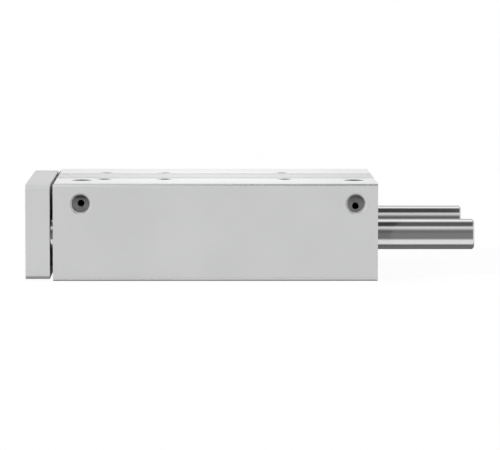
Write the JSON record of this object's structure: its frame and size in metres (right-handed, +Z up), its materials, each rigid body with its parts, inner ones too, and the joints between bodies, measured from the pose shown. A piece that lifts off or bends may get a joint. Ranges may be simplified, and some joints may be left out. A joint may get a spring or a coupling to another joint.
{
  "type": "guided pneumatic cylinder",
  "caption": "Compact guided air cylinder: a flat ported housing whose piston rod and guide rods carry a yoke plate out and back.",
  "frame": {"origin": "centre of the housing's bottom mounting face", "axes": "+X to the rear, where the guide rods stand out; the ported side faces -Y; +Z up"},
  "size_m": [0.2946, 0.148, 0.064],
  "materials": {
    "housing_anodised": "satin natural anodised extrusion",
    "yoke_anodised": "satin natural anodised plate",
    "cap_aluminium": "turned",
    "spacer_aluminium": "turned",
    "hard_chrome": "ground and hard chromed",
    "bearing_steel": "ground",
    "spring_steel": "phosphated spring steel",
    "screw_steel": "black oxide",
    "plug_steel": "black oxide",
    "bush_bronze": "sintered bronze",
    "black_rubber": "matte",
    "seal_polyurethane": "satin",
    "bumper_rubber": "matte",
    "cage_polymer": "moulded",
    "wear_polymer": "filled polymer",
    "magnet_compound": "plastic-bonded magnet"
  },
  "bodies": {
    "housing": {"housing": "housing_anodised", "front_cap": "cap_aluminium", "front_cap_o_ring": "black_rubber", "rod_bush": "bush_bronze", "rod_seal": "seal_polyurethane", "front_retaining_ring": "spring_steel", "front_bumper": "bumper_rubber", "rear_cap": "cap_aluminium", "rear_cap_o_ring": "black_rubber", "rear_retaining_ring": "spring_steel", "rear_bumper": "bumper_rubber", "near_front_bush_sleeve": "bearing_steel", "near_front_ball_cage": "cage_polymer", "near_rear_bush_sleeve": "bearing_steel", "near_rear_ball_cage": "cage_polymer", "far_front_bush_sleeve": "bearing_steel", "far_front_ball_cage": "cage_polymer", "far_rear_bush_sleeve": "bearing_steel", "far_rear_ball_cage": "cage_polymer", "bearing_balls": "bearing_steel", "near_bush_spacer": "spacer_aluminium", "far_bush_spacer": "spacer_aluminium", "near_guide_wiper": "black_rubber", "far_guide_wiper": "black_rubber", "near_guide_ring": "spring_steel", "far_guide_ring": "spring_steel", "front_port_plug": "plug_steel", "rear_port_plug": "plug_steel"},
    "carriage": {"yoke_plate": "yoke_anodised", "near_guide_rod": "hard_chrome", "far_guide_rod": "hard_chrome", "piston_rod": "hard_chrome", "piston_front": "cap_aluminium", "piston_rear": "cap_aluminium", "magnet_ring": "magnet_compound", "front_piston_seal": "seal_polyurethane", "rear_piston_seal": "seal_polyurethane", "wear_band": "wear_polymer", "piston_nut": "screw_steel", "near_guide_rod_screw": "screw_steel", "far_guide_rod_screw": "screw_steel", "piston_rod_screw": "screw_steel"}
  },
  "joints": [
    {"name": "stroke", "type": "slide", "parent": "housing", "child": "carriage", "axis": [-1, 0, 0], "range_m": [0, 0.125]}
  ]
}
